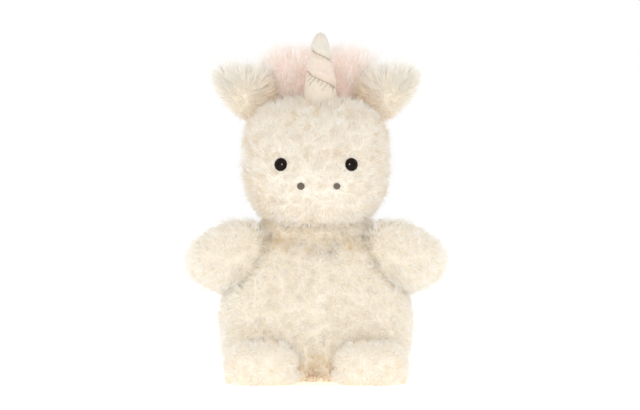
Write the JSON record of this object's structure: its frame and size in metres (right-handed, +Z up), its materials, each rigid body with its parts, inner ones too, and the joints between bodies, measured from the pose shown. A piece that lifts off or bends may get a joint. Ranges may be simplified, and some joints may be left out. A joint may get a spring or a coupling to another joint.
{
  "type": "plush unicorn",
  "caption": "Seated plush unicorn with curly cream fur, a padded stitched horn, a pink mane, wide ears, button eyes and stubby limbs that flex at their seams.",
  "frame": {"origin": "on the floor, under the middle of the toy's bounding box", "axes": "+Z up through the horn, -Y the way the face looks, +X towards the toy's own left ear"},
  "size_m": [0.1296, 0.113, 0.18],
  "materials": {
    "cream_fur": "long curly pile",
    "pink_fur": "long straight pile",
    "lining_fur": "short soft pile",
    "horn_cloth": "smooth suede-like cloth",
    "seam_thread": "sewing thread",
    "horn_thread": "sewing thread",
    "nostril_thread": "satin stitch",
    "fibre_filling": "loose polyester fibre",
    "bag_cloth": "plain weave",
    "label_cloth": "satin ribbon",
    "eye_plastic": "polished black",
    "washer_plastic": "moulded",
    "bean_plastic": "small pellets"
  },
  "bodies": {
    "torso": {"base_panel": "cream_fur", "belly_panel": "cream_fur", "back_panel_left": "cream_fur", "back_panel_right": "cream_fur", "torso_stuffing": "fibre_filling", "bean_bag": "bag_cloth", "bean_pellets": "bean_plastic", "care_label": "label_cloth"},
    "neck": {"neck_seam": "seam_thread"},
    "head": {"face_panel": "cream_fur", "head_back_left": "cream_fur", "head_back_right": "cream_fur", "head_stuffing": "fibre_filling", "eye_left": "eye_plastic", "eye_right": "eye_plastic", "eye_washer_left": "washer_plastic", "eye_washer_right": "washer_plastic", "nostril_left": "nostril_thread", "nostril_right": "nostril_thread", "mane": "pink_fur"},
    "horn": {"horn_cover": "horn_cloth", "horn_stuffing": "fibre_filling", "horn_thread_upper": "horn_thread", "horn_thread_lower": "horn_thread"},
    "ear_left": {"ear_left_back": "cream_fur", "ear_left_lining": "lining_fur"},
    "arm_left": {"arm_left_front": "cream_fur", "arm_left_back": "cream_fur", "arm_left_stuffing": "fibre_filling"},
    "leg_left": {"leg_left_cover": "cream_fur", "leg_left_sole": "cream_fur", "leg_left_stuffing": "fibre_filling"},
    "ear_right": {"ear_right_back": "cream_fur", "ear_right_lining": "lining_fur"},
    "arm_right": {"arm_right_front": "cream_fur", "arm_right_back": "cream_fur", "arm_right_stuffing": "fibre_filling"},
    "leg_right": {"leg_right_cover": "cream_fur", "leg_right_sole": "cream_fur", "leg_right_stuffing": "fibre_filling"},
    "tail": {"tail": "pink_fur"}
  },
  "joints": [
    {"name": "head_nod", "type": "hinge", "parent": "torso", "child": "neck", "pos_m": [0, 0, 0.078], "axis": [1, 0, 0], "range_deg": [-8, 8], "stiffness_Nm_per_rad": 0.2},
    {"name": "head_turn", "type": "hinge", "parent": "neck", "child": "head", "pos_m": [0, 0, 0.078], "axis": [0, 0, 1], "range_deg": [-25, 25], "stiffness_Nm_per_rad": 0.06},
    {"name": "horn_lean", "type": "hinge", "parent": "head", "child": "horn", "pos_m": [0.0022, -0.012, 0.1415], "axis": [1, 0, 0], "range_deg": [-10, 10], "stiffness_Nm_per_rad": 0.01},
    {"name": "ear_left_flap", "type": "hinge", "parent": "head", "child": "ear_left", "pos_m": [0.0295, 0.001, 0.1405], "axis": [-0.5878, 0, 0.809], "range_deg": [-25, 25], "stiffness_Nm_per_rad": 0.006},
    {"name": "arm_left_swing", "type": "hinge", "parent": "torso", "child": "arm_left", "pos_m": [0.0335, -0.003, 0.0625], "axis": [0.4856, 0, -0.8742], "range_deg": [-15, 25], "stiffness_Nm_per_rad": 0.03},
    {"name": "leg_left_lift", "type": "hinge", "parent": "torso", "child": "leg_left", "pos_m": [0.028, -0.031, 0.019], "axis": [-1, 0, 0], "range_deg": [0, 35], "stiffness_Nm_per_rad": 0.03},
    {"name": "ear_right_flap", "type": "hinge", "parent": "head", "child": "ear_right", "pos_m": [-0.0295, 0.001, 0.1405], "axis": [-0.5878, 0, -0.809], "range_deg": [-25, 25], "stiffness_Nm_per_rad": 0.006},
    {"name": "arm_right_swing", "type": "hinge", "parent": "torso", "child": "arm_right", "pos_m": [-0.0335, -0.003, 0.0625], "axis": [0.4856, 0, 0.8742], "range_deg": [-15, 25], "stiffness_Nm_per_rad": 0.03},
    {"name": "leg_right_lift", "type": "hinge", "parent": "torso", "child": "leg_right", "pos_m": [-0.028, -0.031, 0.019], "axis": [-1, 0, 0], "range_deg": [0, 35], "stiffness_Nm_per_rad": 0.03},
    {"name": "tail_swing", "type": "hinge", "parent": "torso", "child": "tail", "pos_m": [0, 0.0385, 0.024], "axis": [0, 0, 1], "range_deg": [-30, 30], "stiffness_Nm_per_rad": 0.01}
  ]
}
